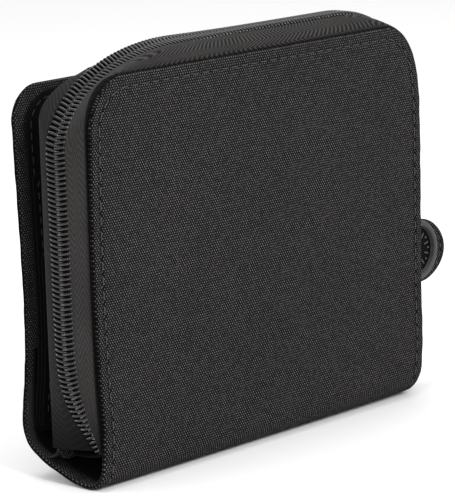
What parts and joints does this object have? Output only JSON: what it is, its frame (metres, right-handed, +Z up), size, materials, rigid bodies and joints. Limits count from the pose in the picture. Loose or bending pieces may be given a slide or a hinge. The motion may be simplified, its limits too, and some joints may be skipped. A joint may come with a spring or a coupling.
{
  "type": "passport holder wallet",
  "caption": "Upright fabric passport wallet: zip-round compartment, open passport fold with back cover, and a press-stud closure tab on one side.",
  "frame": {"origin": "middle of the wallet on the flat underside of the spine", "axes": "+Z up from the spine to the zip; +X along the spine towards the closure tab; -Y out of the zipped compartment's front panel, +Y out of the back cover"},
  "size_m": [0.173, 0.0341, 0.1167],
  "materials": {
    "shell_fabric": "plain-woven black nylon, faint light flecks in the weave",
    "lining": "smooth black woven lining",
    "zip_tape": "herringbone zip tape",
    "zip_coil": "glossy black moulded coil",
    "board": "grey fibre board, hidden inside",
    "hardware_metal": "black-lacquered zinc, worn at the edges",
    "snap_plastic": "satin black moulded cap"
  },
  "bodies": {
    "compartment": {"spine_outer_fabric": "shell_fabric", "divider_outer_fabric": "shell_fabric", "divider_stiffener_board": "board", "divider_lining": "lining", "compartment_floor_lining": "lining", "passport_fold_lining": "lining", "rear_zip_tape": "zip_tape", "rear_zip_coil": "zip_coil", "zip_stop_right": "hardware_metal", "zip_stop_left": "hardware_metal", "tab_anchor": "shell_fabric"},
    "front_panel": {"front_outer_fabric": "shell_fabric", "front_stiffener_board": "board", "front_lining": "lining", "front_zip_tape": "zip_tape", "front_zip_coil": "zip_coil"},
    "back_cover": {"cover_outer_fabric": "shell_fabric", "cover_stiffener_board": "board", "cover_lining": "lining", "card_pocket_rear": "lining", "card_pocket_front": "lining", "snap_stud": "hardware_metal", "snap_stud_washer": "hardware_metal"},
    "closure_tab": {"tab_root_fabric": "shell_fabric"},
    "closure_tab_end": {"tab_end_fabric": "shell_fabric", "snap_cap": "snap_plastic", "snap_socket": "hardware_metal"},
    "zip_slider": {"slider_body": "hardware_metal", "slider_bail": "hardware_metal"},
    "pull": {"zip_pull": "hardware_metal"}
  },
  "joints": [
    {"name": "front_panel_fold", "type": "hinge", "parent": "compartment", "child": "front_panel", "pos_m": [0, -0.0155, 0.0075], "axis": [1, 0, 0], "range_deg": [0, 90]},
    {"name": "back_cover_fold", "type": "hinge", "parent": "compartment", "child": "back_cover", "pos_m": [0, 0.0145, 0.0095], "axis": [-1, 0, 0], "range_deg": [0, 90]},
    {"name": "tab_bend_root", "type": "hinge", "parent": "compartment", "child": "closure_tab", "pos_m": [0.0709, 0.0044, 0.0385], "axis": [0, 0, 1], "range_deg": [0, 45]},
    {"name": "tab_bend_end", "type": "hinge", "parent": "closure_tab", "child": "closure_tab_end", "pos_m": [0.0792, 0.0044, 0.0385], "axis": [0, 0, 1], "range_deg": [0, 45]},
    {"name": "slider_travel", "type": "slide", "parent": "compartment", "child": "zip_slider", "axis": [0, 0, 1], "range_m": [0, 0.062]},
    {"name": "pull_swing", "type": "hinge", "parent": "zip_slider", "child": "pull", "pos_m": [0.0755, -0.0048, 0.024], "axis": [0, -1, 0], "range_deg": [0, 170]}
  ]
}
